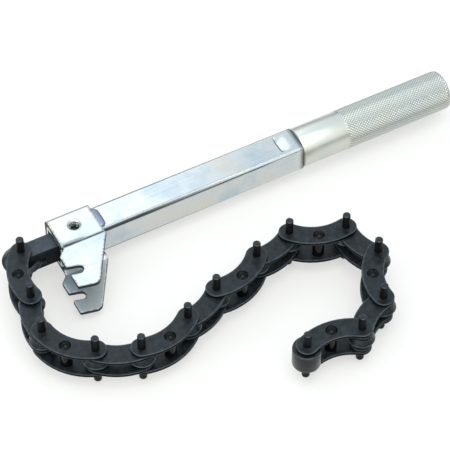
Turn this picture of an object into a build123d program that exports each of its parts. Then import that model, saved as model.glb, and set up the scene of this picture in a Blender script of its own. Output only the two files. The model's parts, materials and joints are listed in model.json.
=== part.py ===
from build123d import *
from math import cos, radians, sin, sqrt
import os

# A chain pipe cutter that lies on its chain pins, with its square tube along X and its chain in front.
# Turning the handle drives a lead screw, which draws the square bar and the chain into the tube. The
# free end of the chain goes round a pipe and hooks by one of its long pins into the bracket's notches.

# Square tube
TUBE_SIDE = 20.0
TUBE_WALL = 2.0
TUBE_LENGTH = 165.0
TUBE_CORNER = 2.5
BORE_CORNER = 0.6
DENT_BACK = 12.8
DENT_RUN = 8.0
DENT_WIDTH = 14.0
DENT_DEPTH = 1.2
DENT_DRAFT = 0.5

# Handle and lead screw
HANDLE_DIAMETER = 25.0
COLLAR_LENGTH = 31.0
KNURL_LENGTH = 76.0
KNURL_RISE = 0.25
KNURL_BEVEL = 0.8
HANDLE_ROUND = 3.5
SPIGOT_LENGTH = 20.0
GROOVE_DEPTH = 2.0
SCREW_DIAMETER = 10.0
SCREW_LENGTH = 145.0
SOCKET_DEPTH = 32.0
SCREW_BEVEL = 1.0

# Square draw bar
BAR_SIDE = 13.5
BAR_BEVEL = 1.3
BAR_LENGTH = 140.0
BAR_BORE_SPARE = 11.75
BAR_REACH = 21.0
SLOT_BACK = 12.8

# Hook bracket
SHEET = 2.5
BRACKET_LENGTH = 28.0
BEND_RADIUS = 1.5
EAR_GAP = 22.2
JOGGLE_RADIUS = 1.6
JOGGLE_START = 12.0
JOGGLE_END = 14.4
EAR_OVERHANG = 4.5
HEEL_REACH = 43.8
TOE_REACH = 46.7
TOE_INSET = 19.7
EDGE_ROUND = 1.0
TOE_ROUND = 4.5
NOTCH_PLAY = 0.45
NOTCH_REACH = 32.2
NOTCH_INSET = 1.6
NOTCH_TILT = 16.0
BEAD_WIDTH = 4.0
BEAD_HEIGHT = 2.2
BEAD_SWELL = 0.65
THREAD_RADIUS = 3.4
THREAD_BEVEL = 0.8
THREAD_TAPER = 45.0

# Chain
OUTER_PITCH = 34.0
INNER_PITCH = 26.0
PLATE_WIDTH = 13.0
PLATE_CURVE = 33.5
OUTER_PLATE = 2.2
INNER_PLATE = 2.2
CHAIN_GAP = 14.0
PIN_DIAMETER = 4.7
PIN_LENGTH = 39.0
RIVET_NECK = 4.2
RIVET_BODY = 7.2
RIVET_HEAD = 7.0
RIVET_TOP = 3.0
RIVET_RISE = 1.7
WHEEL_DIAMETER = 16.0
WHEEL_HUB = 10.4
LEAD_DIAMETER = 24.0
LEAD_HUB = 19.0
LEAD_WIDTH = 4.4
ROLLER_DIAMETER = 17.0
ROLLER_BEVEL = 0.5

# Fits, each the gap between two faces
RUNNING_FIT = 0.1
SIDE_PLAY = 0.25
GROOVE_PLAY = 1.0
PRESS_FIT = 0.02

# Where the draw bar's nose points on the plan, and how far each chain pin from there to the free end
# bends the chain to the left, in degrees
NOSE_HEADING = 180.0
REST_TURNS = [75, 4, 49, 27, 37, 11, -5, -5, -34, -53, -42, -33, -38]

# The mouth of the tube, placed so that the origin is on the floor under the middle of the tool
MOUTH_X = -114.7
AXIS_Y = 69.5
AXIS_Z = PIN_LENGTH / 2

HALF_TUBE = TUBE_SIDE / 2
HALF_BORE = HALF_TUBE - TUBE_WALL
HALF_GAP = CHAIN_GAP / 2
PIN_RADIUS = PIN_DIAMETER / 2


def across(distance):
    """A plane across the tube's axis, at this distance from its mouth, with its x along Y."""
    return Plane((MOUTH_X + distance, AXIS_Y, AXIS_Z), x_dir=(0, 1, 0), z_dir=(1, 0, 0))


def level(height):
    """A horizontal plane at this height over the tube's axis, with its origin at the mouth."""
    return Plane((MOUTH_X, AXIS_Y, AXIS_Z + height), x_dir=(1, 0, 0), z_dir=(0, 0, 1))


def lengthwise():
    """The upright plane through the tube's axis, with its x towards the handle and its y upwards."""
    return Plane((MOUTH_X, AXIS_Y, AXIS_Z), x_dir=(1, 0, 0), z_dir=(0, -1, 0))


def tool_axis():
    return Axis((MOUTH_X, AXIS_Y, AXIS_Z), (1, 0, 0))


def save(name, part):
    part.label = name
    export_step(part, f"parts/{name}.step")


def make_tube():
    """The tube, crimped above and below near its handle end, so that the handle can't come out."""
    with BuildPart() as tube:
        with BuildSketch(across(0)):
            RectangleRounded(TUBE_SIDE, TUBE_SIDE, TUBE_CORNER)
            RectangleRounded(2 * HALF_BORE, 2 * HALF_BORE, BORE_CORNER, mode=Mode.SUBTRACT)
        extrude(amount=TUBE_LENGTH)
        with BuildSketch(level(HALF_BORE)):
            with Locations((BRACKET_LENGTH / 2, 0)):
                Circle(THREAD_RADIUS)
        extrude(amount=TUBE_WALL, mode=Mode.SUBTRACT)
        for side in (1, -1):
            with BuildSketch(lengthwise()):
                add(crimp_outline(HALF_BORE, side))
            extrude(amount=DENT_WIDTH / 2, both=True)
            with BuildSketch(lengthwise()):
                add(crimp_outline(HALF_TUBE, side))
            extrude(amount=DENT_WIDTH / 2, both=True, mode=Mode.SUBTRACT)
    save("square_tube", tube.part)


def crimp_outline(height, side):
    """A crimp seen from the side: a steep step inwards, and a ramp out again towards the handle."""
    wall = TUBE_LENGTH - DENT_BACK
    floor = side * (height - DENT_DEPTH)
    with BuildSketch() as crimp:
        with BuildLine():
            Polyline(
                (wall - DENT_DRAFT, side * height),
                (wall, floor),
                (wall + DENT_RUN, side * height),
                close=True,
            )
        make_face()
    return crimp.sketch


def make_handle():
    """The round handle: a grooved spigot in the tube, a plain collar and a raised band for the knurl."""
    spigot = HALF_BORE - RUNNING_FIT
    start = TUBE_LENGTH - SPIGOT_LENGTH
    groove = TUBE_LENGTH - DENT_BACK - GROOVE_PLAY
    groove_end = TUBE_LENGTH - DENT_BACK + DENT_RUN + GROOVE_PLAY
    collar = TUBE_LENGTH + RUNNING_FIT
    knurl = collar + COLLAR_LENGTH
    end = knurl + KNURL_LENGTH
    plain = HANDLE_DIAMETER / 2
    raised = plain + KNURL_RISE
    socket = SCREW_DIAMETER / 2 + PRESS_FIT
    with BuildPart() as handle:
        with BuildSketch(lengthwise()):
            with BuildLine():
                Polyline(
                    (end, 0),
                    (start + SOCKET_DEPTH, 0),
                    (start + SOCKET_DEPTH, socket),
                    (start, socket),
                    (start, spigot),
                    (groove, spigot),
                    (groove, spigot - GROOVE_DEPTH),
                    (groove_end, spigot - GROOVE_DEPTH),
                    (groove_end, spigot),
                    (collar, spigot),
                    (collar, plain),
                    (knurl, plain),
                    (knurl + KNURL_BEVEL, raised),
                    (end - HANDLE_ROUND, raised),
                )
                JernArc((end - HANDLE_ROUND, raised), (1, 0), HANDLE_ROUND, -90)
                Line((end, raised - HANDLE_ROUND), (end, 0))
            make_face()
        revolve(axis=tool_axis())
    save("knurled_handle", handle.part)


def screw_tip():
    """How far the tip of the lead screw is from the mouth of the tube."""
    return TUBE_LENGTH - SPIGOT_LENGTH + SOCKET_DEPTH - SCREW_LENGTH


def make_screw():
    """The lead screw, pressed into the handle, with its bevelled tip inside the draw bar."""
    with BuildPart() as screw:
        with BuildSketch(across(screw_tip())):
            Circle(SCREW_DIAMETER / 2)
        extrude(amount=SCREW_LENGTH)
        chamfer(screw.edges().filter_by(GeomType.CIRCLE).sort_by(Axis.X)[0], length=SCREW_BEVEL)
    save("lead_screw", screw.part)


def make_bar():
    """The square draw bar, bored for the screw behind and slotted for the lead wheel in front."""
    half = BAR_SIDE / 2
    nose = -BAR_REACH - half
    slot = LEAD_WIDTH / 2 + RUNNING_FIT
    with BuildPart() as bar:
        with BuildSketch(across(nose)):
            Rectangle(BAR_SIDE, BAR_SIDE)
            chamfer(vertices(), length=BAR_BEVEL)
        extrude(amount=BAR_LENGTH)
        with BuildSketch(level(-half)):
            with Locations((-BAR_REACH, 0)):
                Circle(half)
            with Locations((-BAR_REACH + BAR_LENGTH / 2, 0)):
                Rectangle(BAR_LENGTH, BAR_SIDE)
        extrude(amount=BAR_SIDE, mode=Mode.INTERSECT)
        with BuildSketch(across(screw_tip() - BAR_BORE_SPARE)):
            Circle(SCREW_DIAMETER / 2 + RUNNING_FIT)
        extrude(amount=BAR_LENGTH, mode=Mode.SUBTRACT)
        with BuildSketch(level(-slot)):
            with Locations((nose + (half + SLOT_BACK) / 2, 0)):
                Rectangle(half + SLOT_BACK, BAR_SIDE)
        extrude(amount=2 * slot, mode=Mode.SUBTRACT)
        with BuildSketch(level(-half)):
            with Locations((-BAR_REACH, 0)):
                Circle(PIN_RADIUS + RUNNING_FIT)
        extrude(amount=BAR_SIDE, mode=Mode.SUBTRACT)
    save("draw_bar", bar.part)


def make_bracket():
    """One strip of sheet bent round the back of the tube, its two ends stepped out into notched ears."""
    plate = HALF_TUBE + SHEET / 2
    ear = (EAR_GAP + SHEET) / 2
    top = ear + SHEET
    back = HALF_TUBE + SHEET
    bend = BEND_RADIUS + SHEET / 2
    upper = [(-TOE_REACH - SHEET, ear), (-JOGGLE_END, ear), (-JOGGLE_START, plate), (plate, plate)]
    lower = [(y, -z) for y, z in reversed(upper)]
    with BuildPart() as bracket:
        with BuildSketch(across(-EAR_OVERHANG)):
            with BuildLine():
                FilletPolyline(
                    *upper,
                    *lower,
                    radius=[JOGGLE_RADIUS, JOGGLE_RADIUS, bend, bend, JOGGLE_RADIUS, JOGGLE_RADIUS],
                )
            trace(line_width=SHEET)
        extrude(amount=BRACKET_LENGTH + EAR_OVERHANG)
        with BuildSketch(level(-top)):
            with BuildLine():
                FilletPolyline(
                    (0, back),
                    (0, -JOGGLE_END),
                    (-EAR_OVERHANG, -JOGGLE_END - EAR_OVERHANG),
                    (-EAR_OVERHANG, -HEEL_REACH),
                    (BRACKET_LENGTH - TOE_INSET, -TOE_REACH),
                    (BRACKET_LENGTH, -JOGGLE_END),
                    (BRACKET_LENGTH, back),
                    radius=[0, EDGE_ROUND, EDGE_ROUND, EDGE_ROUND, TOE_ROUND, EDGE_ROUND, 0],
                    close=True,
                )
            make_face()
        extrude(amount=2 * top, mode=Mode.INTERSECT)
        width = PIN_DIAMETER + 2 * NOTCH_PLAY
        mouth = NOTCH_INSET + 2 * EAR_OVERHANG
        with BuildSketch(level(-top)):
            with Locations(Location((NOTCH_INSET, -NOTCH_REACH, 0), (0, 0, -NOTCH_TILT))):
                Circle(width / 2)
                with Locations((-mouth / 2, 0)):
                    Rectangle(mouth, width)
        extrude(amount=2 * top, mode=Mode.SUBTRACT)
        lips = bracket.edges().filter_by(Axis.Z).group_by(Axis.X)[0]
        fillet(lips.sort_by(Axis.Y), radius=EDGE_ROUND)
        with BuildSketch(level(HALF_TUBE)):
            with Locations((BRACKET_LENGTH / 2, 0)):
                Circle(THREAD_RADIUS)
        extrude(amount=SHEET, mode=Mode.SUBTRACT)
        with BuildSketch(level(HALF_TUBE + SHEET)):
            with Locations((BRACKET_LENGTH / 2, 0)):
                Circle(THREAD_RADIUS + THREAD_BEVEL)
        extrude(amount=-THREAD_BEVEL, taper=THREAD_TAPER, mode=Mode.SUBTRACT)
    save("hook_bracket", bracket.part)


def make_beads():
    """The weld beads along the bracket's edge, on the top and on the bottom of the tube."""
    with BuildPart() as beads:
        with BuildSketch(lengthwise()):
            with BuildLine():
                corner = (BRACKET_LENGTH, HALF_TUBE)
                toe = (BRACKET_LENGTH + BEAD_WIDTH, HALF_TUBE)
                throat = (BRACKET_LENGTH, HALF_TUBE + BEAD_HEIGHT)
                Polyline(toe, corner, throat)
                middle = (BRACKET_LENGTH + BEAD_SWELL * BEAD_WIDTH, HALF_TUBE + BEAD_SWELL * BEAD_HEIGHT)
                ThreePointArc(throat, middle, toe)
            make_face()
        extrude(amount=HALF_TUBE - TUBE_CORNER, both=True)
        mirror(about=level(0))
    save("weld_beads", beads.part)


def pin_places():
    """The centre of each chain pin on the plan, and the direction of each link, in degrees."""
    x, y, heading = MOUTH_X - BAR_REACH, AXIS_Y, NOSE_HEADING
    places, headings = [(x, y)], []
    for number, turn in enumerate(REST_TURNS, start=1):
        heading += turn
        x += link_pitch(number) * cos(radians(heading))
        y += link_pitch(number) * sin(radians(heading))
        places.append((x, y))
        headings.append(heading)
    return places, headings


def link_pitch(number):
    """The odd links carry the pins and are longer than the even ones between them."""
    return OUTER_PITCH if number % 2 else INNER_PITCH


def link_bulge(pitch):
    """How far the middle of a curved plate lies outside the line between its pins."""
    return PLATE_CURVE - sqrt(PLATE_CURVE**2 - (pitch / 2) ** 2)


def link_plane(place, heading, height=0):
    """A horizontal plane at a link's first pin, with its x towards the link's second pin."""
    direction = (cos(radians(heading)), sin(radians(heading)), 0)
    return Plane((*place, AXIS_Z + height), x_dir=direction, z_dir=(0, 0, 1))


def plate_outline(pitch, hole_radius, middle_hole=0):
    """A curved plate on the plan, with a hole at each pin and perhaps one at its middle."""
    bulge = link_bulge(pitch)
    with BuildLine() as centre:
        ThreePointArc((0, 0), (pitch / 2, -bulge), (pitch, 0))
    with BuildSketch() as plate:
        SlotArc(centre.edges()[0], PLATE_WIDTH)
        with Locations((0, 0), (pitch, 0)):
            Circle(hole_radius, mode=Mode.SUBTRACT)
        if middle_hole:
            with Locations((pitch / 2, -bulge)):
                Circle(middle_hole, mode=Mode.SUBTRACT)
    return plate.sketch


def make_outer_link(number, place, heading):
    """Two outer plates, the two long pins pressed through them and the shouldered rivet between."""
    outline = plate_outline(OUTER_PITCH, PIN_RADIUS + PRESS_FIT, RIVET_NECK / 2 + PRESS_FIT)
    with BuildPart() as plates:
        for height in (HALF_GAP, -HALF_GAP - OUTER_PLATE):
            with BuildSketch(link_plane(place, heading, height)):
                add(outline)
            extrude(amount=OUTER_PLATE)
    save(f"link_{number:02d}_plates", plates.part)

    with BuildPart() as pins:
        with BuildSketch(link_plane(place, heading, -PIN_LENGTH / 2)):
            with Locations((0, 0), (OUTER_PITCH, 0)):
                Circle(PIN_RADIUS)
        extrude(amount=PIN_LENGTH)
    save(f"link_{number:02d}_pins", pins.part)

    seat = HALF_GAP + OUTER_PLATE
    middle = link_plane(place, heading).from_local_coords((OUTER_PITCH / 2, -link_bulge(OUTER_PITCH), 0))
    with BuildPart() as rivet:
        with BuildSketch(Plane(middle, x_dir=(1, 0, 0), z_dir=(0, -1, 0))):
            with BuildLine():
                Polyline(
                    (0, 0),
                    (RIVET_BODY / 2, 0),
                    (RIVET_BODY / 2, HALF_GAP),
                    (RIVET_NECK / 2, HALF_GAP),
                    (RIVET_NECK / 2, seat),
                    (RIVET_HEAD / 2, seat),
                    (RIVET_TOP / 2, seat + RIVET_RISE),
                    (0, seat + RIVET_RISE),
                    close=True,
                )
            make_face()
            mirror(about=Plane.XZ)
        revolve(axis=Axis(middle, (0, 0, 1)))
    save(f"link_{number:02d}_rivet", rivet.part)


def make_inner_link(number, place, heading):
    """Two inner plates that turn on the pins of the links on either side."""
    outline = plate_outline(INNER_PITCH, PIN_RADIUS + RUNNING_FIT)
    outside = HALF_GAP - SIDE_PLAY
    with BuildPart() as plates:
        for height in (outside - INNER_PLATE, -outside):
            with BuildSketch(link_plane(place, heading, height)):
                add(outline)
            extrude(amount=INNER_PLATE)
    save(f"link_{number:02d}_plates", plates.part)


def make_wheel(name, place, diameter, hub, width):
    """A cutting wheel: two cones that meet in a sharp edge, bored to run on a chain pin."""
    bore = PIN_RADIUS + RUNNING_FIT
    centre = (*place, AXIS_Z)
    with BuildPart() as wheel:
        with BuildSketch(Plane(centre, x_dir=(1, 0, 0), z_dir=(0, -1, 0))):
            with BuildLine():
                Polyline(
                    (bore, -width / 2),
                    (hub / 2, -width / 2),
                    (diameter / 2, 0),
                    (hub / 2, width / 2),
                    (bore, width / 2),
                    close=True,
                )
            make_face()
        revolve(axis=Axis(centre, (0, 0, 1)))
    save(name, wheel.part)


def make_roller(place):
    """The plain roller between the last two outer plates, at the chain's free end."""
    width = CHAIN_GAP - 2 * SIDE_PLAY
    with BuildPart() as roller:
        with BuildSketch(link_plane(place, 0, -width / 2)):
            Circle(ROLLER_DIAMETER / 2)
            Circle(PIN_RADIUS + RUNNING_FIT, mode=Mode.SUBTRACT)
        extrude(amount=width)
        rims = roller.edges().filter_by(GeomType.CIRCLE)
        chamfer(rims.filter_by(lambda rim: rim.radius > PIN_DIAMETER), length=ROLLER_BEVEL)
    save("end_roller", roller.part)


os.makedirs("parts", exist_ok=True)
make_tube()
make_handle()
make_screw()
make_bar()
make_bracket()
make_beads()
places, headings = pin_places()
for number, heading in enumerate(headings, start=1):
    if number % 2:
        make_outer_link(number, places[number - 1], heading)
    else:
        make_inner_link(number, places[number - 1], heading)
make_wheel("lead_wheel", places[0], LEAD_DIAMETER, LEAD_HUB, LEAD_WIDTH)
between_plates = CHAIN_GAP - 2 * (SIDE_PLAY + INNER_PLATE + RUNNING_FIT)
for number, place in enumerate(places[1:-1], start=1):
    make_wheel(f"cutting_wheel_{number:02d}", place, WHEEL_DIAMETER, WHEEL_HUB, between_plates)
make_roller(places[-1])
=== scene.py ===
# %% [markdown]
# # A chain pipe cutter
# The tool has three families of parts: zinc-plated steel that is welded and turned (tube, bracket
# and handle), a black bar that slides in the tube, and a black chain of curved plates, long pins and
# hardened wheels. The CAD frame fixes every place and size. This lesson gives each part the edges,
# textures and finishes that a camera sees.

# %% Load the frame
import json
import math

import bmesh
import bpy
import numpy as np
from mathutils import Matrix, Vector
from mathutils.geometry import delaunay_2d_cdt


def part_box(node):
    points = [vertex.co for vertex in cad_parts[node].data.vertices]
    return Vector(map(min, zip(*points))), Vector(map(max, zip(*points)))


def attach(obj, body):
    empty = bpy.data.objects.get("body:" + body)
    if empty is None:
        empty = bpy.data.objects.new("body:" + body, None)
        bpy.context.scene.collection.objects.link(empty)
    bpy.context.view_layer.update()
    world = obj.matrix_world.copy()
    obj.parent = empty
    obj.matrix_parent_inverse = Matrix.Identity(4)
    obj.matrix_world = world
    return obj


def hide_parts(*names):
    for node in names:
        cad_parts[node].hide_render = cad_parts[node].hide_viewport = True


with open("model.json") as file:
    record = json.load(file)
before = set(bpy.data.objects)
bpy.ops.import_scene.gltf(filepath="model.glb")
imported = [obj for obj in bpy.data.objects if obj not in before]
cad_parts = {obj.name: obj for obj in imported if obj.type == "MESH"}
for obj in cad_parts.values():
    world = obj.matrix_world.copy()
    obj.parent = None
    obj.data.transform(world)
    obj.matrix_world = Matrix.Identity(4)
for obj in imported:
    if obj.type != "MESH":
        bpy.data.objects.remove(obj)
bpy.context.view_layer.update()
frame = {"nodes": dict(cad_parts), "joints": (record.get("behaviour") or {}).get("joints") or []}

MM = 0.001

# %% [markdown]
# ## Places read from the joints
# Each link swings on a pin, so the hinge points of the links are the pins' centres. The direction of
# a link is the step from its first pin to its second one. Reading both from the frame keeps every
# new piece exactly where the CAD has it.

# %% Pin centres and link directions
hinges = {joint["name"]: joint.get("pos_m") for joint in frame["joints"]}
LINKS = 13
swings = [hinges[f"link_{number:02d}_swing"] for number in range(1, LINKS + 1)]
pin_centres = np.array(swings + [hinges["end_roller_spin"]]) / MM
axis_height = pin_centres[0, 2]
steps = np.diff(pin_centres[:, :2], axis=0)
headings = np.arctan2(steps[:, 1], steps[:, 0])
pitches = np.hypot(*steps.T)
mouth_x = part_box("square_tube")[0].x / MM
tube_end_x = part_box("square_tube")[1].x / MM
axis_y = hinges["handle_turn"][1] / MM
print("long and short pitch:", pitches[:2].round(2), "mouth of the tube at x", round(mouth_x, 1))

# %% [markdown]
# ## From arrays to meshes
# Every new shape below is a grid of points worked out with numpy. Row i and column j of the grid are
# two parameters of a surface, such as the station on a profile and the angle round an axis. Joining
# neighbours gives quads. Points that fall on one place, as at a pole or a seam, are merged, so that
# each shell is closed and its faces can be turned outwards.

# %% Grid of points to quads
def shell(points, wear_soil_and_painted_light=None, kept=None, cut=None):
    """A closed band of quads over points[i, j], with j running round and joined at its end.

    kept[i, j] says which quads stay. Where cut[i, j] is true the quad is split along its other
    diagonal, and a grid with a cut is made of triangles only.
    """
    rows, columns = points.shape[:2]
    index = np.arange(rows * columns).reshape(rows, columns)
    here, beside = index[:-1], np.roll(index[:-1], -1, axis=1)
    above, across = index[1:], np.roll(index[1:], -1, axis=1)
    quads = np.stack([here, beside, across, above], axis=-1)
    if kept is not None:
        quads = quads[kept]
    if cut is not None:
        first = np.where(cut[..., None], quads[..., [0, 1, 3]], quads[..., [0, 1, 2]])
        second = np.where(cut[..., None], quads[..., [1, 2, 3]], quads[..., [0, 2, 3]])
        quads = np.concatenate([first.reshape(-1, 3), second.reshape(-1, 3)])
    wear_soil_and_painted_light = np.zeros((rows, columns)) if wear_soil_and_painted_light is None else wear_soil_and_painted_light
    return points.reshape(-1, 3), quads.reshape(-1, quads.shape[-1]), wear_soil_and_painted_light.ravel()


# %% Mesh object from shells
SMOOTH_LIMIT = math.radians(38)


def piece(name, shells, body, material, replaced=(), smooth_limit=SMOOTH_LIMIT, mark="worn_and_painted_light"):
    """Joins shells into one object that rides on a body and stands for the CAD nodes it replaces.

    The third part of a shell is a number at each point, kept under the name mark for its material.
    """
    starts = np.cumsum([0] + [len(points) for points, _, _ in shells[:-1]])
    vertices = np.concatenate([points for points, _, _ in shells]) * MM
    faces = [face for start, (_, quads, _) in zip(starts, shells) for face in (quads + start).tolist()]
    mesh = bpy.data.meshes.new(name)
    mesh.from_pydata(vertices.tolist(), [], faces)
    values = mesh.attributes.new(mark, "FLOAT", "POINT")
    values.data.foreach_set("value", np.concatenate([wear_soil_and_painted_light for _, _, wear_soil_and_painted_light in shells]).astype(np.float32))
    return finished(name, mesh, body, material, replaced, smooth_limit)


def finished(name, mesh, body, material, replaced, smooth_limit=SMOOTH_LIMIT):
    """Merges doubled points, turns the faces outwards and dresses the mesh as a piece."""
    work = bmesh.new()
    work.from_mesh(mesh)
    bmesh.ops.remove_doubles(work, verts=work.verts, dist=0.0005 * MM)
    bmesh.ops.recalc_face_normals(work, faces=work.faces)
    work.to_mesh(mesh)
    work.free()
    mesh.polygons.foreach_set("use_smooth", np.ones(len(mesh.polygons), bool))
    mesh.set_sharp_from_angle(angle=smooth_limit)
    made = bpy.data.objects.new(name, mesh)
    bpy.context.scene.collection.objects.link(made)
    made.data.materials.append(material)
    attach(made, body)
    if replaced:
        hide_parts(*replaced)
    return made


# %% [markdown]
# ## Colour and nodes
# Colours are picked as sRGB hex codes, but the renderer adds light, so it needs linear values. Each
# channel below 0.04045 is divided by 12.92, and above it follows ((c + 0.055) / 1.055) to the power
# 2.4. One small helper adds any node, sets its fields and joins its sockets.

# %% Colour and node helpers
def linear(code):
    """sRGB hex code to linear red, green, blue and alpha."""
    channels = np.array([int(code[i:i + 2], 16) for i in (1, 3, 5)]) / 255
    values = np.where(channels > 0.04045, ((channels + 0.055) / 1.055) ** 2.4, channels / 12.92)
    return (*values.tolist(), 1.0)


def add_node(tree, kind, sockets=None, **fields):
    """Adds a node. A socket takes a value, or another node's output to be linked to it."""
    made = tree.nodes.new(kind)
    for field, value in fields.items():
        setattr(made, field, value)
    for socket, value in (sockets or {}).items():
        if isinstance(value, bpy.types.NodeSocket):
            tree.links.new(value, made.inputs[socket])
        else:
            made.inputs[socket].default_value = value
    return made


def metal(name, shine):
    """A new material with its shader set to a metal. Returns it, its tree, shader and coordinates."""
    made = bpy.data.materials.new(name)
    made.use_nodes = True
    shader = made.node_tree.nodes["Principled BSDF"]
    shader.inputs["Metallic"].default_value = shine
    place = add_node(made.node_tree, "ShaderNodeTexCoord").outputs["Object"]
    return made, made.node_tree, shader, place


def ramp(tree, factor, stops):
    """A colour ramp through (position, hex code) stops."""
    made = add_node(tree, "ShaderNodeValToRGB", {"Fac": factor})
    elements = made.color_ramp.elements
    while len(elements) < len(stops):
        elements.new(0.5)
    for element, (position, code) in zip(elements, stops):
        element.position, element.color = position, linear(code)
    return made.outputs["Color"]


def noise(tree, place, size_mm, detail=3.0, stretch=(1, 1, 1)):
    """Noise whose blobs are size_mm across, drawn out along an axis where stretch is under 1."""
    moved = add_node(tree, "ShaderNodeMapping", {"Vector": place, "Scale": stretch})
    sockets = {"Vector": moved.outputs["Vector"], "Scale": 1 / (size_mm * MM), "Detail": detail}
    return add_node(tree, "ShaderNodeTexNoise", sockets).outputs["Fac"]


def spread(tree, value, source, target):
    """Carries a value from one range to another."""
    names = ("From Min", "From Max", "To Min", "To Max")
    sockets = {"Value": value, **dict(zip(names, (*source, *target)))}
    return add_node(tree, "ShaderNodeMapRange", sockets).outputs["Result"]


# %% [markdown]
# ## Zinc plate
# Bright zinc plate is a thin metal coat, dipped in a passivating bath that leaves faint blue and
# yellow clouds a centimetre or two across. Handling adds fine scratches, mostly along the tube. The
# clouds tint the metal's colour. The scratches are noise drawn out fifty times along X, and they
# act on roughness and on a very low bump.

# %% Zinc-plated steel
def zinc_plate(name, stops, roughness, soil_and_painted_shade="#343b41"):
    """Clouded zinc, darkened towards the soil colour where its mark for dirt and painted shade is 1, and dull where it
    is -1.
    """
    made, tree, shader, place = metal(name, 1.0)
    clean = ramp(tree, noise(tree, place, 22, detail=3), stops)
    soiled_and_painted_shade = add_node(tree, "ShaderNodeAttribute", attribute_name="soiled_and_painted_shade").outputs["Fac"]
    mixed = add_node(tree, "ShaderNodeMix", {"Factor": soiled_and_painted_shade, 6: clean, 7: linear(soil_and_painted_shade)}, data_type="RGBA")
    tree.links.new(mixed.outputs[2], shader.inputs["Base Color"])
    scratches = noise(tree, place, 0.9, detail=2, stretch=(0.02, 1, 1))
    patches = noise(tree, place, 6, detail=5)
    grain = add_node(tree, "ShaderNodeMath", {0: scratches, 1: patches}, operation="MULTIPLY")
    smooth = spread(tree, grain.outputs["Value"], (0.15, 0.4), roughness)
    marked = add_node(tree, "ShaderNodeMath", {0: soiled_and_painted_shade}, operation="ABSOLUTE").outputs["Value"]
    rough = add_node(tree, "ShaderNodeMix", {"Factor": marked, 2: smooth, 3: 0.5}).outputs[0]
    tree.links.new(rough, shader.inputs["Roughness"])
    bump = add_node(tree, "ShaderNodeBump", {"Height": scratches, "Strength": 0.1, "Distance": 0.02 * MM})
    tree.links.new(bump.outputs["Normal"], shader.inputs["Normal"])
    return made


ZINC_CLOUDS = [(0.3, "#b0bcc4"), (0.5, "#c5cacb"), (0.7, "#cbc9c1")]
zinc = zinc_plate("bright_zinc_plate", ZINC_CLOUDS, (0.16, 0.3))
# The grip's clouds are a lighter, creamier copy of the zinc: painted light standing in for the warm light that falls on
# the grip.
LIT_KNURL_CLOUDS = [(0.3, "#e4e9e8"), (0.5, "#eeeee4"), (0.7, "#f2efdf")]
lit_zinc_knurl = zinc_plate("zinc_over_knurl_painted_light", LIT_KNURL_CLOUDS, (0.24, 0.36), "#959c9a")
zinc_weld = zinc_plate("zinc_over_weld", [(0.3, "#6b7d96"), (0.5, "#8c9bab"), (0.7, "#83869f")], (0.24, 0.38))


# %% [markdown]
# ## Black oxide
# The chain is steel that was blackened in a hot salt bath. The coat is thin and slightly glossy,
# and it wears off first where plates are stamped round: along their edges. Each plate's mesh
# carries a number for wear and painted shade, that is 1 on its edges and 0 on its flats, and the
# colour follows it. It is -1 on the sheared sides, which are rough, hold oil and look matt, and
# there the colour is also painted nearly black as shade.

# %% Black oxide steel
def clamped(tree, value, factor):
    """value times factor, held between 0 and 1."""
    sockets = {0: value, 1: factor}
    return add_node(tree, "ShaderNodeMath", sockets, operation="MULTIPLY", use_clamp=True).outputs["Value"]


def black_oxide(name, dark, light, bare, roughness, gloss=0.34):
    """A mottled coat of two blacks, rubbed bare where the wear mark is 1, and matt and painted nearly black as shade
    where it is -1.
    """
    made, tree, shader, place = metal(name, 0.2)
    mottle = noise(tree, place, 3, detail=6)
    coat = ramp(tree, mottle, [(0.35, dark), (0.65, light)])
    worn_and_painted_light = add_node(tree, "ShaderNodeAttribute", attribute_name="worn_and_painted_light").outputs["Fac"]
    rubbed_and_painted_light, sheared_and_shaded = clamped(tree, worn_and_painted_light, mottle), clamped(tree, worn_and_painted_light, -1.0)
    matt = add_node(tree, "ShaderNodeMix", {"Factor": sheared_and_shaded, 6: coat, 7: linear("#050607")}, data_type="RGBA")
    sockets = {"Factor": rubbed_and_painted_light, 6: matt.outputs[2], 7: linear(bare)}
    mixed = add_node(tree, "ShaderNodeMix", sockets, data_type="RGBA")
    tree.links.new(mixed.outputs[2], shader.inputs["Base Color"])
    smooth = spread(tree, mottle, (0.3, 0.7), roughness)
    rough = add_node(tree, "ShaderNodeMix", {"Factor": sheared_and_shaded, 2: smooth, 3: 0.65}).outputs[0]
    tree.links.new(rough, shader.inputs["Roughness"])
    tree.links.new(spread(tree, sheared_and_shaded, (0, 1), (gloss, 0.05)), shader.inputs["Specular IOR Level"])
    grit = noise(tree, place, 0.5, detail=2)
    bump = add_node(tree, "ShaderNodeBump", {"Height": grit, "Strength": 0.1, "Distance": 0.03 * MM})
    tree.links.new(bump.outputs["Normal"], shader.inputs["Normal"])
    return made


plate_black = black_oxide("black_oxide_plate", "#0f1417", "#20272c", "#48535b", (0.3, 0.42))
pin_black = black_oxide("black_oxide_pin", "#0d0f12", "#171b1f", "#4d555d", (0.24, 0.36))
rivet_black = black_oxide("black_oxide_rivet", "#040506", "#080a0c", "#2a3036", (0.1, 0.16), 0.16)
wheel_black = black_oxide("hardened_wheel_steel", "#0a0d10", "#13171b", "#6a747c", (0.16, 0.26))
bar_black = black_oxide("black_oxide_bar", "#242b31", "#343d44", "#515b63", (0.32, 0.44))
greased = black_oxide("greased_thread_steel", "#3c3d3c", "#5a5954", "#8e8d86", (0.2, 0.35))

# %% [markdown]
# ## Outlines with round corners
# The tube's section, the bent sheet's middle line and the ear's outline are all polygons with rounded
# corners. At a corner whose sides meet at an angle f, an arc of radius r touches both sides at the
# distance r / tan(f/2) from the corner, and its centre lies r / sin(f/2) away on the bisector.

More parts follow.
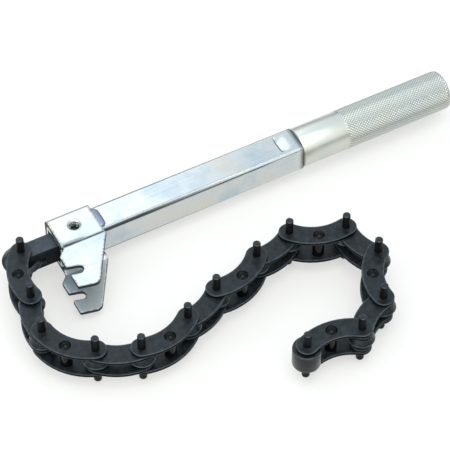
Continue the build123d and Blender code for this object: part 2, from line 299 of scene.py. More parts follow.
# %% Rounded polygon
def rounded(corners, along, around, closed=True):
    """Points of a polygon of (x, y, radius) corners: so many along each side and round each arc."""
    corners = np.array(corners, float)
    places, radii = corners[:, :2], corners[:, 2]
    pieces = []
    for number, (place, radius) in enumerate(zip(places, radii)):
        if not closed and number in (0, len(places) - 1):
            pieces.append(place[None])
            continue
        back = places[number - 1] - place
        ahead = places[(number + 1) % len(places)] - place
        back, ahead = back / np.hypot(*back), ahead / np.hypot(*ahead)
        half = math.acos(back @ ahead) / 2
        bisector = (back + ahead) / np.hypot(*(back + ahead))
        centre = place + bisector * radius / math.sin(half)
        start = place + back * radius / math.tan(half) - centre
        turn = math.copysign(math.pi - 2 * half, ahead[0] * back[1] - ahead[1] * back[0])
        angle = np.linspace(0, turn, around)[:, None]
        pieces.append(centre + start * np.cos(angle) + np.array([-start[1], start[0]]) * np.sin(angle))
    if closed:
        pieces.append(pieces[0][:1])
    outline = [pieces[0]]
    for before, after in zip(pieces, pieces[1:]):
        outline.append(np.linspace(before[-1], after[0], along + 1)[1:-1])
        outline.append(after)
    outline = np.concatenate(outline)
    moved = np.hypot(*np.diff(outline, axis=0).T) > 1e-6
    outline = np.concatenate([outline[:1], outline[1:][moved]])
    return outline[:-1] if closed else outline


def square_ring(side, radius):
    """The rounded square section of the tube or of its bore."""
    half = side / 2
    corners = [(half, half, radius), (-half, half, radius), (-half, -half, radius), (half, -half, radius)]
    return rounded(corners, 34, 9)


# %% [markdown]
# ## The square tube
# The tube is its section carried along X, out over the wall and back through the bore. Near the
# handle it is crimped above and below: a punch has pushed the wall in, steep on one side and rising
# in a ramp on the other. The crimp is a depth that depends on x and y, taken off both skins.

# %% Tube
TUBE_LENGTH = 165
CRIMP_WALL, CRIMP_RUN, CRIMP_DEPTH = TUBE_LENGTH - 12.8, 8.0, 1.2
CRIMP_HALF = 7.0


def crimp_depth(x, y):
    """Rolls down over 2 mm to the foot of the wall, and rises in a ramp towards the handle."""
    wall = np.clip((x - CRIMP_WALL + 2) / 2, 0, 1) ** 2
    ramp = np.clip((CRIMP_WALL + CRIMP_RUN - x) / CRIMP_RUN, 0, 1) ** 1.9
    scoop = np.clip(1 - (np.abs(y) / CRIMP_HALF) ** 3, 0, 1)
    return CRIMP_DEPTH * np.minimum(wall, ramp) * scoop


def crimp_painted_shade(x, y):
    """Painted shade along the foot of the crimp's wall."""
    near = np.clip(1 - np.abs(x - CRIMP_WALL + 0.3) / 0.5, 0, 1)
    return 0.8 * near * (np.abs(y) < CRIMP_HALF - 0.6)


def corner_painted_reflection(x, ring):
    """Painted dark reflections on the rounded corners, turned towards the tube's sides, that also dull the metal and
    fade away from the weld.
    """
    out_y, out_z = np.maximum(np.abs(ring) - 7.5, 0).T
    turn = np.degrees(np.arctan2(out_y, out_z))
    streak = np.clip(1.7 - np.abs(turn - 52) / 25, 0, 1) * (out_z > 0)
    return 0.95 * streak * np.clip((135 - x) / 80, 0, 1)


def tube_shell():
    """Rings of the wall, its rounded ends and the bore, with a window under the tapped hole."""
    stations = np.concatenate([
        [0.3], np.arange(2, 140, 2), np.arange(150, 162, 0.25), [TUBE_LENGTH - 0.3],
    ])
    skin = [(0, 0.3, 0), (0.09, 0.09, 0)] + [(x, 0, 0) for x in stations]
    skin += [(TUBE_LENGTH - 0.09, 0.09, 0), (TUBE_LENGTH, 0.3, 0)]
    bore = [(TUBE_LENGTH, 0, 1)] + [(x, 0, 1) for x in stations[::-1]] + [(0, 0, 1), (0, 0.3, 0)]
    outer, inner = square_ring(20, 2.5), square_ring(16, 0.6)
    rings, soil_and_painted_shade = [], []
    for x, inset, inside in skin + bore:
        ring = inner if inside else outer * (1 - inset / 10)
        flat = np.sign(ring[:, 1]) * (np.abs(ring[:, 1]) > np.abs(ring[:, 0]))
        lowered = ring[:, 1] - flat * crimp_depth(x, ring[:, 0])
        # Painted shade and painted dark reflections: the foot of the crimp's wall and the rounded corners are darkened,
        # and the end rings at 0.7.
        painted_shade_marks = np.abs(flat) * crimp_painted_shade(x, ring[:, 0])
        if not inside:
            painted_shade_marks = np.maximum(painted_shade_marks, corner_painted_reflection(x, ring))
        soil_and_painted_shade.append(painted_shade_marks if x < TUBE_LENGTH - 0.3 else np.full(len(ring), 0.7))
        rings.append(np.stack([np.full(len(ring), mouth_x + x), axis_y + ring[:, 0], axis_height + lowered], axis=1))
    points = np.stack(rings)
    middle = points[:-1] + np.diff(points, axis=0) / 2 - [mouth_x + 14, axis_y, axis_height]
    window = (np.hypot(middle[..., 0], middle[..., 1]) < 3.3) & (middle[..., 2] > 7)
    return shell(points, np.stack(soil_and_painted_shade), kept=~window)


piece("tube_walls", [tube_shell()], "housing", zinc, ["square_tube"], math.radians(28), "soiled_and_painted_shade")

# %% [markdown]
# ## The bent bracket
# The bracket is one strip of sheet. Laid flat it is a plane figure in (x, s), where s is the distance
# along the strip: two ears with a notch each, joined by the web. The figure is cut into triangles
# once, for both faces. Each point is then put at its place on the folded middle line, half a
# thickness to either side, and a strip of small steps rounds the sheared edge between the faces. The
# sheared edge is rough and duller, and it is also painted darker as shade, so that it draws a thin
# outline. The outer face is painted darker as shade where it rolls down into the crease before the ear.

# %% Middle line of the bracket
SHEET = 2.5
HALF_SHEET = SHEET / 2
PLATE_LEVEL = 10 + SHEET / 2
EAR_LEVEL = 11.1 + SHEET / 2
BACK = 10 + SHEET / 2
upper_line = [(-49.2, EAR_LEVEL, 0), (-14.4, EAR_LEVEL, 1.6), (-12, PLATE_LEVEL, 1.6), (BACK, PLATE_LEVEL, 2.75)]
lower_line = [(y, -z, radius) for y, z, radius in reversed(upper_line)]
fold = rounded(upper_line + lower_line, 120, 24, closed=False)
distance = np.concatenate([[0], np.cumsum(np.hypot(*np.diff(fold, axis=0).T))])
STRIP = distance[-1]
tangent = np.gradient(fold, distance, axis=0)
tangent /= np.hypot(*tangent.T)[:, None]
reach_line = fold[:, 0] < BACK - 3
forward = np.nonzero(reach_line)[0][: reach_line.argmin()]


def along_strip(y):
    """The distance along the strip at which its upper half stands at y."""
    return np.interp(y, fold[forward, 0], distance[forward])


ROLL_DEPTH, ROLL_RUN, CREASE = 1.5, 3.4, along_strip(-12.4)


def roll(x, s):
    """How far the outer face has sunk where the plate rolls down to the crease before the ear.

    It falls as the square of the distance over 3.4 mm, and most at the mouth, where the sheet is free.
    """
    before = np.minimum(s, STRIP - s) - CREASE
    fall = np.clip(1 - before / ROLL_RUN, 0, 1) ** 2 * np.clip(1 + before / 0.4, 0, 1)
    return ROLL_DEPTH * fall * np.clip(1 - x / 18, 0.08, 1)


def folded(flat, offset):
    """Places points (x, s) of the flat strip on the bracket, at an offset out from the middle line."""
    x, s = flat[..., 0], flat[..., 1]
    offset = offset - roll(x, s) * max(offset, 0) / HALF_SHEET
    y, z, step_y, step_z = (np.interp(s, distance, values) for values in (*fold.T, *tangent.T))
    return np.stack([mouth_x + x, axis_y + y - offset * step_z, axis_height + z + offset * step_y], axis=-1)


# %% Flat figure of the bracket
LENGTH = 28.0
NOTCH = np.array([1.6, -32.2])
NOTCH_HALF = 2.8
tilt = math.radians(-16)
slot_in = np.array([math.cos(tilt), math.sin(tilt)])
slot_up = np.array([-slot_in[1], slot_in[0]])
FRONT = -4.5


def on_front(side):
    """Where one side of the notch meets the ear's front edge."""
    start = NOTCH + side * NOTCH_HALF * slot_up
    return (FRONT, start[1] + (FRONT - start[0]) * slot_in[1] / slot_in[0], 1.0)


notch_ends = [(*(NOTCH + NOTCH_HALF * (slot_in + side * slot_up)), NOTCH_HALF) for side in (1, -1)]
ear = rounded([
    (0, 0, 0), (0, -14.4, 1), (FRONT, -18.9, 1), on_front(1), *notch_ends, on_front(-1),
    (FRONT, -43.8, 1), (8.3, -46.7, 4.5), (LENGTH, -14.4, 1), (LENGTH, 0, 0),
], 36, 12, closed=False)
upper_edge = np.stack([ear[:, 0], along_strip(ear[:, 1])], axis=1)
lower_edge = (upper_edge * [1, -1] + [0, STRIP])[::-1]
web_s = np.linspace(upper_edge[-1, 1], STRIP - upper_edge[-1, 1], 120)[1:-1]
web_edge = np.stack([np.full_like(web_s, LENGTH), web_s], axis=1)
outline = np.concatenate([upper_edge, web_edge, lower_edge, web_edge[::-1] * [0, 1]])
chord = np.roll(outline, -1, axis=0) - np.roll(outline, 1, axis=0)
inward = np.stack([-chord[:, 1], chord[:, 0]], axis=1) / np.hypot(*chord.T)[:, None]
hole_turn = np.linspace(0, 2 * np.pi, 48, endpoint=False)
hole_ray = np.stack([np.cos(hole_turn), np.sin(hole_turn)], axis=1)
hole_centre = np.array([LENGTH / 2, along_strip(0)])


def inside(points, loop):
    """Whether each point lies in a closed loop: it crosses the loop an odd number of times."""
    x, y = points[:, None, 0], points[:, None, 1]
    start, end = loop, np.roll(loop, -1, axis=0)
    straddles = (start[:, 1] > y) != (end[:, 1] > y)
    slope = (end[:, 0] - start[:, 0]) / np.where(start[:, 1] == end[:, 1], 1, end[:, 1] - start[:, 1])
    return (straddles & (x < start[:, 0] + slope * (y - start[:, 1]))).sum(axis=1) % 2 == 1


SHEAR_EDGE = 0.4
COUNTERSINK = 0.8
rim = outline + SHEAR_EDGE * inward
mouth_ring = hole_centre + 4.3 * hole_ray
grid = np.stack(np.meshgrid(np.arange(-4, LENGTH, 1.2), np.arange(0.5, STRIP, 0.35)), axis=-1).reshape(-1, 2)
border = np.concatenate([rim, mouth_ring])
clear = np.array([np.hypot(*(border - point).T).min() > 0.45 for point in grid])
grid = grid[clear & inside(grid, rim) & ~inside(grid, mouth_ring)]
flat_points = np.concatenate([border, grid])
rim_sides = [(n, (n + 1) % len(rim)) for n in range(len(rim))]
ring_sides = [(len(rim) + n, len(rim) + (n + 1) % len(hole_ray)) for n in range(len(hole_ray))]
cut_up = delaunay_2d_cdt([Vector(point) for point in flat_points], rim_sides + ring_sides, [], 0, 1e-6)
flat_points = np.array([tuple(point) for point in cut_up[0]])
triangles = np.array(cut_up[2])
centres = flat_points[triangles].mean(axis=1)
triangles = triangles[inside(centres, rim) & ~inside(centres, mouth_ring)]
print("triangles of each face of the bracket:", len(triangles))

# %% Folded bracket
slope = SHEAR_EDGE * (1 - math.sqrt(0.5))
edge_steps = [(SHEAR_EDGE, HALF_SHEET), (slope, HALF_SHEET - slope), (0, HALF_SHEET - SHEAR_EDGE)]
edge_steps += [(inset, -offset) for inset, offset in reversed(edge_steps)]
edge_band = np.stack([folded(outline + inset * inward, offset) for inset, offset in edge_steps])
hole_steps = [(4.3, HALF_SHEET), (4.15, HALF_SHEET - 0.08), (3.4, HALF_SHEET - COUNTERSINK), (3.4, -HALF_SHEET), (4.3, -HALF_SHEET)]
hole_band = np.stack([folded(hole_centre + radius * hole_ray, offset) for radius, offset in hole_steps])
# Painted shade: the outer face darkens where it rolls down into the crease.
crease_painted_shade = np.clip(2.3 * np.sqrt(roll(*flat_points.T) / ROLL_DEPTH) - 0.3, 0, 1)
dull = np.full(len(flat_points), -1.0)
faces = [(folded(flat_points, HALF_SHEET), triangles, crease_painted_shade), (folded(flat_points, -HALF_SHEET), triangles, dull)]
# Painted shade on the sheared edge band, which is also made duller.
sheared_and_shaded = np.repeat(np.array([0.5, 0.9, 1, 1, 0.9, 0.5])[:, None], len(outline), axis=1)
sheet = [*faces, shell(edge_band, sheared_and_shaded), shell(hole_band)]
piece("bent_bracket", sheet, "housing", zinc, ["hook_bracket"], mark="soiled_and_painted_shade")

# %% [markdown]
# ## The draw bar from the CAD
# The bar already has the right solid in the frame: bored behind, slotted in front and bevelled along
# its edges. A copy of the CAD mesh is merged, its flat triangles are joined into whole faces, and a
# bevel of a few tenths rounds what is sharper than 35 degrees.

# %% Bevelled copy of the bar
bar_mesh = frame["nodes"]["draw_bar"].data.copy()
bar_mesh.materials.clear()
work = bmesh.new()
work.from_mesh(bar_mesh)
bmesh.ops.remove_doubles(work, verts=work.verts, dist=0.002 * MM)
bmesh.ops.dissolve_limit(work, angle_limit=math.radians(0.5), verts=work.verts, edges=work.edges)
work.to_mesh(bar_mesh)
work.free()
bar = finished("sliding_bar", bar_mesh, "draw_bar", bar_black, ["draw_bar"])
normals = np.array([face.normal for face in bar.data.polygons])
# Painted shade: faces turned to the front and back are darkened to matt black, and the other faces are rubbed a little
# lighter as painted light.
painted_side_shade = bar.data.attributes.new("worn_and_painted_light", "FLOAT", "FACE")
painted_side_shade.data.foreach_set("value", np.where(np.abs(normals[:, 1]) > 0.7, -0.8, 0.2).astype(np.float32))
rounding = bar.modifiers.new("edge_rounding", "BEVEL")
rounding.width = 0.3 * MM
rounding.segments = 2
rounding.limit_method = "ANGLE"
rounding.angle_limit = math.radians(35)
rounding.harden_normals = True

# %% [markdown]
# ## Turned pieces
# Pins, rivets, wheels, the roller and the handle are all turned on a lathe, so each is one profile
# of (radius, height) pairs swept round an axis. A ring of the sweep is radius times the unit circle.

# %% Surface of revolution
def turned(profile, segments, centre=(0, 0, 0), lengthwise=False, wear_soil_and_painted_light=None):
    """Sweeps (radius, height) pairs round Z through centre, or round X with lengthwise.

    A point is centre + (radius cos a, radius sin a, height), and a runs once round.
    """
    radius, height = np.array(profile, float).T
    angle = np.linspace(0, 2 * np.pi, segments, endpoint=False)
    sideways = radius[:, None] * np.cos(angle)
    upwards = radius[:, None] * np.sin(angle)
    along = np.repeat(height[:, None], segments, axis=1)
    order = [along, sideways, upwards] if lengthwise else [sideways, upwards, along]
    points = np.stack(order, axis=-1) + np.array(centre)
    rubbed_and_painted_light = None if wear_soil_and_painted_light is None else np.repeat(np.array(wear_soil_and_painted_light, float)[:, None], segments, axis=1)
    return shell(points, rubbed_and_painted_light)


def mirrored(profile):
    """A profile from the axis outwards and down to mid-height, followed by its mirror image."""
    return profile + [(radius, -height) for radius, height in reversed(profile)]


# %% [markdown]
# ## Chain plates
# A plate is a strip of constant width along an arc, with round ends, so it looks like a banana. Its
# face is a grid between two loops. The outer loop is the plate's outline. The inner loop is shaped
# like a dumbbell: round the far half of one pin hole, along the middle line to the other hole, and
# back. Where the inner loop follows the middle line both halves of the face share their points, and
# the plate is whole there. The rings near the outline step down over a small radius, the edge that
# stamping and tumbling leave.

# %% One curved plate
CURVE = 33.5
HALF_WIDTH = 6.5
EDGE = 0.35
WORN_WIDTH = 1.1


def plate_loops(pitch, hole):
    """Feet on the middle line, outward directions and inner points of a plate's outline.

    A foot at angle a lies at (pitch/2 + R sin a, c - R cos a). The outline is half a width from its
    foot, on either side of the line, and round each pin in a half circle. The inner point is the
    foot itself, or, nearer to a pin than the hole's radius, the point of the hole beside it.
    """
    reach = math.asin(pitch / 2 / CURVE)
    near = 2 * np.arcsin(hole * np.sin(np.linspace(0, np.pi / 2, 6)) / (2 * CURVE))
    middle = np.linspace(near[-1] - reach, reach - near[-1], 10)[1:-1]
    sweep = np.concatenate([near - reach, middle, reach - near[::-1]])
    ray = np.stack([np.sin(sweep), -np.cos(sweep)], axis=1)
    cap = np.linspace(-np.pi / 2, np.pi / 2, 16)[1:-1] + reach
    cap_ray = np.stack([np.cos(cap), np.sin(cap)], axis=1)
    line = np.array([pitch / 2, math.sqrt(CURVE**2 - (pitch / 2) ** 2)]) + CURVE * ray
    ends = [np.tile(line[-1], (len(cap), 1)), np.tile(line[0], (len(cap), 1))]
    feet = np.concatenate([line, ends[0], line[::-1], ends[1]])
    outward = np.concatenate([ray, cap_ray, -ray[::-1], cap_ray[::-1] * [-1, 1]])
    pin = np.where(feet[:, :1] < pitch / 2, line[0], line[-1])
    away = feet - pin
    distance = np.hypot(*away.T)
    beside = away + outward * np.sqrt(np.maximum(hole**2 - distance**2, 0))[:, None]
    on_hole = distance < hole + 1e-6
    inner = np.where(on_hole[:, None], pin + hole * beside / np.hypot(*beside.T)[:, None], feet)
    return feet, outward, inner, on_hole


def plate(link, bottom, thickness, hole):
    """A plate of a link, from this height over mid-height: rings in from the outline, and the holes."""
    feet, outward, inner, on_hole = plate_loops(pitches[link], hole)
    slope = EDGE * (1 - math.sqrt(0.5))
    # Edge rings are marked for wear; the ring on the sheared side is marked -1 and painted nearly black as shade.
    lower = [(WORN_WIDTH, 0, 0), (EDGE, 0, 0.7), (slope, slope, 1), (0, EDGE, 0.5), (0, EDGE + 0.2, -1)]
    rings = lower + [(inset, thickness - rise, wear_soil_and_painted_light) for inset, rise, wear_soil_and_painted_light in reversed(lower)]
    flat = [inner] + [feet + (HALF_WIDTH - inset) * outward for inset, _, _ in rings] + [inner, inner]
    rise = [0] + [height for _, height, _ in rings] + [thickness, 0]
    rubbed_and_painted_light = [0] + [wear_soil_and_painted_light for _, _, wear_soil_and_painted_light in rings] + [0, 0]
    turn = np.array([[math.cos(headings[link]), -math.sin(headings[link])],
                     [math.sin(headings[link]), math.cos(headings[link])]])
    ground = np.stack(flat) @ turn.T + pin_centres[link, :2]
    height = np.array(rise)[:, None, None] + bottom + axis_height
    points = np.concatenate([ground, np.broadcast_to(height, (*ground.shape[:2], 1))], axis=-1)
    kept = np.ones((len(flat) - 1, len(feet)), bool)
    kept[-1] = on_hole & np.roll(on_hole, -1)
    wear_soil_and_painted_light = np.repeat(np.array(rubbed_and_painted_light, float)[:, None], len(feet), axis=1)
    return shell(points, wear_soil_and_painted_light, kept)


# %% The thirteen links
PIN = 2.35
HALF_PIN = 19.5
OUTER_LEVEL, INNER_LEVEL, THICK = 7.0, 4.55, 2.2
for link in range(LINKS):
    body = f"link_{link + 1:02d}"
    outer = link % 2 == 0
    level, hole = (OUTER_LEVEL, PIN + 0.02) if outer else (INNER_LEVEL, PIN + 0.1)
    plates = [plate(link, level, THICK, hole), plate(link, -level - THICK, THICK, hole)]
    piece(f"{body}_stamped_plates", plates, body, plate_black, [f"{body}_plates"])

# %% [markdown]
# ## Pins and rivets
# The long pins are cut from rod with a small lead chamfer, so that they drop into the bracket's
# notches. The rivet between them is a spacer with a shoulder under each plate, and its ends are
# hammered into round heads, whose profile is an arc.

# %% Pins and rivets of the long links
PIN_PROFILE = mirrored([(0, HALF_PIN), (1.5, HALF_PIN), (1.95, HALF_PIN - 0.06), (2.25, HALF_PIN - 0.25), (PIN, HALF_PIN - 0.6)])
# The pins' ends are rubbed lighter; their sides are marked -0.7, matt and painted darker as shade.
PIN_WEAR_AND_SHADE = [0.3, 0.3, 0.5, 0.5, -0.7] + [-0.7, 0.5, 0.5, 0.3, 0.3]
HEAD, HEAD_RISE, SEAT = 3.5, 1.7, OUTER_LEVEL + THICK
dome_radius = (HEAD**2 + HEAD_RISE**2) / (2 * HEAD_RISE)
lean = np.linspace(0, math.asin(HEAD / dome_radius), 9)
dome = list(zip(dome_radius * np.sin(lean), SEAT + HEAD_RISE - dome_radius * (1 - np.cos(lean))))
RIVET_PROFILE = mirrored(dome + [(2.1, SEAT), (2.1, OUTER_LEVEL), (3.6, OUTER_LEVEL)])
for link in range(0, LINKS, 2):
    body = f"link_{link + 1:02d}"
    ends = [turned(PIN_PROFILE, 32, pin_centres[link + end], wear_soil_and_painted_light=PIN_WEAR_AND_SHADE) for end in (0, 1)]
    piece(f"{body}_long_pins", ends, body, pin_black, [f"{body}_pins"])
    along = np.array([math.cos(headings[link]), math.sin(headings[link]), 0])
    aside = np.array([along[1], -along[0], 0])
    bulge = CURVE - math.sqrt(CURVE**2 - (pitches[link] / 2) ** 2)
    middle = pin_centres[link] + pitches[link] / 2 * along + bulge * aside
    rivet = [turned(RIVET_PROFILE, 32, middle)]
    piece(f"{body}_headed_rivet", rivet, body, rivet_black, [f"{body}_rivet"])

# %% [markdown]
# ## Cutting wheels and roller
# A cutting wheel is two cones base to base, hardened and ground, so it keeps a fine bright edge.
# The first wheel is larger and thinner. The last pin carries a plain roller instead.

# %% Wheels
BORE = PIN + 0.1


def wheel_profile(tip, hub, half):
    """Hub face, cone, bright ground band and edge, mirrored, and closed along the bore."""
    band = 0.82
    upper = [
        (BORE, half - 0.2), (BORE + 0.2, half), (hub - 0.2, half), (hub, half - 0.15),
        (hub + (tip - hub) * band, half * (1 - band) - 0.03), (tip - 0.05, 0.06),
    ]
    return mirrored(upper) + [upper[0]]


WHEEL_WEAR = [0, 0, 0, 0.4, 0.1, 1, 1, 0.1, 0.4, 0, 0, 0, 0]
for number in range(13):
    name = "lead_wheel" if number == 0 else f"cutting_wheel_{number:02d}"
    profile = wheel_profile(12, 9.5, 2.2) if number == 0 else wheel_profile(8, 5.2, 4.45)
    ground = [turned(profile, 64, pin_centres[number], wear_soil_and_painted_light=WHEEL_WEAR)]
    piece(f"{name}_ground", ground, name, wheel_black, [name], math.radians(15))

# %% Roller on the last pin
roller_top = [(BORE, 6.75), (7.7, 6.75), (8.2, 6.6), (8.42, 6.3), (8.5, 5.9)]
roller_profile = mirrored(roller_top) + [roller_top[0]]
roller_wear = [0, 0, 0.4, 0.6, 0, 0, 0.6, 0.4, 0, 0, 0]
roller = [turned(roller_profile, 64, pin_centres[-1], wear_soil_and_painted_light=roller_wear)]
piece("end_roller_turned", roller, "end_roller", wheel_black, ["end_roller"])

# %% [markdown]
# ## The knurled handle
# A knurling tool presses two families of helical grooves into the grip, and what stands between
# them are small diamonds. On a grid at half the pitch, every second point is the top of a diamond
# and the others are crossings of grooves, like the squares of a chessboard. The diagonal of each
# quad from crossing to crossing is the bottom of a groove, so the quad is split along it.

# %% Handle
COLUMNS = 84
KNURL_PITCH = 2.1
KNURL_HEIGHT = 0.3
GRIP, END_ROUND = 12.75, 3.5
collar_x = tube_end_x + 0.1
knurl_x = collar_x + 31
butt_x = knurl_x + 76
spigot = 7.9
groove_x = tube_end_x - 13.8
spigot_x = tube_end_x - 20


def handle_shell():
    """Rings of one radius each, then the knurl's alternating rings, then the smooth end.

    The knurl runs straight and on round the end's arc, where a station at angle a lies at radius
    R - r (1 - cos a) and r sin a further along.
    """
    plain = [
        (0, spigot_x + 32), (5.02, spigot_x + 32), (5.02, spigot_x), (7.6, spigot_x), (spigot, spigot_x + 0.3),
        (spigot, groove_x), (5.9, groove_x), (5.9, groove_x + 10), (spigot, groove_x + 10), (spigot, collar_x),
        (12.1, collar_x), (12.38, collar_x + 0.12), (12.5, collar_x + 0.4), (12.5, knurl_x - 0.3), (12.42, knurl_x),
    ]
    straight = butt_x - END_ROUND - knurl_x
    rows = 2 * round((straight + 1.1 * END_ROUND) / KNURL_PITCH)
    travel = np.arange(1, rows + 1)[:, None] * KNURL_PITCH / 2
    bend = np.maximum(travel - straight, 0) / END_ROUND
    around = np.arange(COLUMNS)
    chess = (np.arange(rows)[:, None] + around) % 2
    strength = np.clip(travel / 1.2, 0, 1) * np.clip((travel[-1] - travel) / 1.2, 0, 1)
    depth = KNURL_HEIGHT * (1 - chess * strength)
    skin = GRIP - END_ROUND * (1 - np.cos(bend)) - depth * np.cos(bend)
    stations = knurl_x + np.minimum(travel, straight) + (END_ROUND - depth) * np.sin(bend)
    lean = np.linspace(bend[-1, 0], np.pi / 2, 7)[1:]
    low = END_ROUND - KNURL_HEIGHT
    smooth = [(GRIP - END_ROUND + low * math.cos(a), butt_x - END_ROUND + low * math.sin(a)) for a in lean]
    smooth += [(5.0, butt_x - KNURL_HEIGHT), (0, butt_x - KNURL_HEIGHT)]

    def rings(pairs, which):
        return np.repeat(np.array(pairs, float)[:, which:which + 1], COLUMNS, axis=1)

    radius = np.concatenate([rings(plain, 0), skin, rings(smooth, 0)])
    along = np.concatenate([rings(plain, 1), stations, rings(smooth, 1)])
    # The knurl's groove crossings are painted darker, as grime and as shade in the grooves, and the plain rings are
    # greyed evenly at 0.45.
    soil_and_painted_shade = np.concatenate([np.full((len(plain), COLUMNS), 0.45), (1 - chess) * strength, np.zeros((len(smooth), COLUMNS))])
    angle = 2 * np.pi * around / COLUMNS
    points = np.stack([along, axis_y + radius * np.cos(angle), axis_height + radius * np.sin(angle)], axis=-1)
    row = np.arange(len(along) - 1)[:, None] - len(plain)
    return shell(points, soil_and_painted_shade, cut=(row + around) % 2 == 1)


piece("knurled_grip", [handle_shell()], "handle", lit_zinc_knurl, ["knurled_handle"], mark="soiled_and_painted_shade")

# %% [markdown]
# ## Screw threads
# A thread is a groove that climbs one pitch in each turn. Its radius depends on one number only,
# the distance along the axis minus the pitch times the share of a turn: a triangle wave of that.

# %% Lead screw and tapped hole
def thread_wave(along, angle, pitch):
    """0 at the root and 1 at the crest: a triangle wave of along/pitch - angle/(2 pi)."""
    phase = (along / pitch - angle / (2 * np.pi)) % 1
    return 1 - np.abs(2 * phase - 1)


def lead_screw_shell():
    first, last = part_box("lead_screw")[0].x / MM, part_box("lead_screw")[1].x / MM
    angle = np.linspace(0, 2 * np.pi, 24, endpoint=False)
    along = np.concatenate([[first], np.arange(first + 0.01, last, 0.25), [last, last]])
    radius = 4.15 + 0.85 * thread_wave(along[:, None], angle, 1.5)
    radius = np.minimum(radius, 3.9 + (along - first)[:, None])
    radius[0], radius[-1] = 0, 0
    sideways, upwards = radius * np.cos(angle), radius * np.sin(angle)
    level = np.broadcast_to(along[:, None], radius.shape)
    return shell(np.stack([level, axis_y + sideways, axis_height + upwards], axis=-1))


piece("threaded_screw", [lead_screw_shell()], "handle", greased, ["lead_screw"])

TAPPED_X = mouth_x + 14
angle = np.linspace(0, 2 * np.pi, 40, endpoint=False)
rise = np.arange(8.1, 11.6, 0.15)
inside = 3.41 - 0.3 * thread_wave(rise[:, None], angle, 1.25)
sleeve = np.concatenate([inside, np.full((2, 40), 3.43), inside[:1]])
levels = np.concatenate([rise, rise[[-1, 0]], rise[:1]])[:, None]
ring = np.stack([TAPPED_X + sleeve * np.cos(angle), axis_y + sleeve * np.sin(angle),
                 axis_height + np.broadcast_to(levels, sleeve.shape)], axis=-1)
piece("tapped_thread", [shell(ring)], "housing", zinc)

# %% [markdown]
# ## Weld beads
# Where the bracket's edge meets the tube, a welder has run a bead. It is a convex fillet whose
# surface has ripples, one for each pause of the arc, bowed along the seam.

# %% Beads
def bead_shell(side):
    """A fillet section of arc angle f, swollen by ripples in y, and drawn in at both ends."""
    low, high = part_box("weld_beads")
    along = np.linspace(low.y, high.y, 61)[:, None] / MM
    share = np.linspace(0, 1, 14)
    seam_x, width, height = low.x / MM, (high.x - low.x) / MM, 2.2
    middle = (low.y + high.y) / 2 / MM
    half = (high.y - low.y) / 2 / MM
    taper = np.sqrt(np.clip(1 - ((along - middle) / half) ** 6, 0, 1))
    ripple = 1 - 0.05 * (0.5 + 0.5 * np.sin(2 * np.pi * (along + 1.6 * (share - 0.5) ** 2) / 1.5))
    turn = share * np.pi / 2
    out_x = width * np.cos(turn) ** 0.8 * ripple * taper
    out_z = height * np.sin(turn) ** 0.8 * ripple * taper
    x = np.concatenate([seam_x + out_x, np.full_like(along, seam_x - 0.2)], axis=1)
    z = np.concatenate([10 + out_z, np.full_like(along, 9.8)], axis=1)
    z[:, 0] = 9.8
    points = np.stack([x, np.broadcast_to(along, x.shape), axis_height + side * z], axis=-1)
    core = np.array([seam_x, 0, axis_height + side * 9.9])
    tips = np.repeat(np.array([[core + [0, y, 0]] for y in (along[0, 0], along[-1, 0])]), x.shape[1], axis=1)
    return shell(np.concatenate([tips[:1], points, tips[1:]]))


beads = [bead_shell(1), bead_shell(-1)]
piece("rippled_beads", beads, "housing", zinc_weld, ["weld_beads"])

# %% [markdown]
# ## Floor, light and camera
# A product picture has a white sweep and a big soft light overhead. What makes bright metal readable
# is the rest of the room: pale above and dark near the horizon, so that every rounded edge carries a
# white line and a dark one beside it. The room is the world's colour as a function of direction. The
# camera stands off with a long lens, which keeps the tube's edges nearly parallel.

# %% Floor
floor_mesh = bpy.data.meshes.new("paper_sweep")
corners = [(-3, -3, -0.0002), (3, -3, -0.0002), (3, 3, -0.0002), (-3, 3, -0.0002)]
floor_mesh.from_pydata(corners, [], [(0, 1, 2, 3)])
floor = bpy.data.objects.new("paper_sweep", floor_mesh)
bpy.context.scene.collection.objects.link(floor)
paper = bpy.data.materials.new("white_paper")
paper.use_nodes = True
diffuser = paper.node_tree.nodes["Principled BSDF"]
diffuser.inputs["Base Color"].default_value = linear("#a4a4a3")
diffuser.inputs["Roughness"].default_value = 0.9
diffuser.inputs["Emission Color"].default_value = linear("#fffefb")
diffuser.inputs["Emission Strength"].default_value = 0.48
floor_mesh.materials.append(paper)

# %% Soft light
def soft_light(name, place, size, power):
    """A square area light that faces the tool."""
    lamp = bpy.data.lights.new(name, "AREA")
    lamp.size, lamp.energy = size, power
    made = bpy.data.objects.new(name, lamp)
    made.location = place
    made.rotation_euler = (-Vector(place)).to_track_quat("-Z", "Y").to_euler()
    bpy.context.scene.collection.objects.link(made)


# %% Camera
ELEVATION = math.radians(50.4)
DISTANCE = 1198
TOOL_TURN = math.radians(28.4)
aim = np.array([-15.15, 29.7])


def part_from_view(x, y, z):
    """Turns a point of the camera's own frame into the part's frame, in metres."""
    away = np.array([x, y]) - aim
    cosine, sine = math.cos(-TOOL_TURN), math.sin(-TOOL_TURN)
    along = cosine * away[0] - sine * away[1]
    aside = sine * away[0] + cosine * away[1]
    return Vector((along + 98 + mouth_x, aside + axis_y, z + axis_height)) * MM


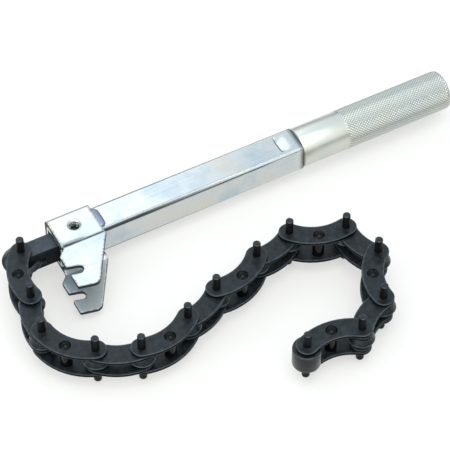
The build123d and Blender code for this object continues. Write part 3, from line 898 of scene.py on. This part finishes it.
eye = part_from_view(0, -DISTANCE * math.cos(ELEVATION), DISTANCE * math.sin(ELEVATION))
target = part_from_view(0, 0, 0)
lens = bpy.data.cameras.new("long_lens")
lens.lens, lens.sensor_width = 160, 36
camera = bpy.data.objects.new("long_lens", lens)
camera.location = eye
camera.rotation_euler = (target - eye).to_track_quat("-Z", "Y").to_euler()
bpy.context.scene.collection.objects.link(camera)
bpy.context.scene.camera = camera
bpy.context.scene.view_settings.view_transform = "Standard"

# %% Studio walls
HORIZON = [(0.0, "#1c2228"), (0.1, "#2a323a"), (0.2, "#8c98a4"), (0.34, "#ffffff")]
FRONT_TO_BACK = [(0.1, "#eff0ea"), (0.32, "#f1f3f0"), (0.5, "#c6d2da"), (0.8, "#cbd5dc"), (1.0, "#dfe6ea")]
sky = bpy.data.worlds.new("studio")
bpy.context.scene.world = sky
sky.use_nodes = True
room = sky.node_tree
direction = add_node(room, "ShaderNodeTexCoord").outputs["Generated"]
height = add_node(room, "ShaderNodeSeparateXYZ", {"Vector": direction}).outputs["Z"]
backwards = (part_from_view(0, 1, 0) - part_from_view(0, 0, 0)) / MM
depth = add_node(room, "ShaderNodeVectorMath", {0: direction, 1: backwards}, operation="DOT_PRODUCT").outputs["Value"]
tint = ramp(room, spread(room, depth, (-1, 1), (0, 1)), FRONT_TO_BACK)
sockets = {"Factor": 1.0, 6: ramp(room, height, HORIZON), 7: tint}
wall_colour = add_node(room, "ShaderNodeMix", sockets, data_type="RGBA", blend_type="MULTIPLY")
walls = room.nodes["Background"]
room.links.new(wall_colour.outputs[2], walls.inputs["Color"])
walls.inputs["Strength"].default_value = 1.6

# %% Lights
PANEL_AWAY = 900
soft_light("overhead_panel", (-0.1, -0.3, 1.3), 0.9, 8)
soft_light("left_panel", (-1.0, -0.3, 0.6), 0.8, 3.5)
back_panel = part_from_view(-245, PANEL_AWAY * math.cos(ELEVATION), PANEL_AWAY * math.sin(ELEVATION))
soft_light("back_panel", back_panel, 0.45, 0.5)
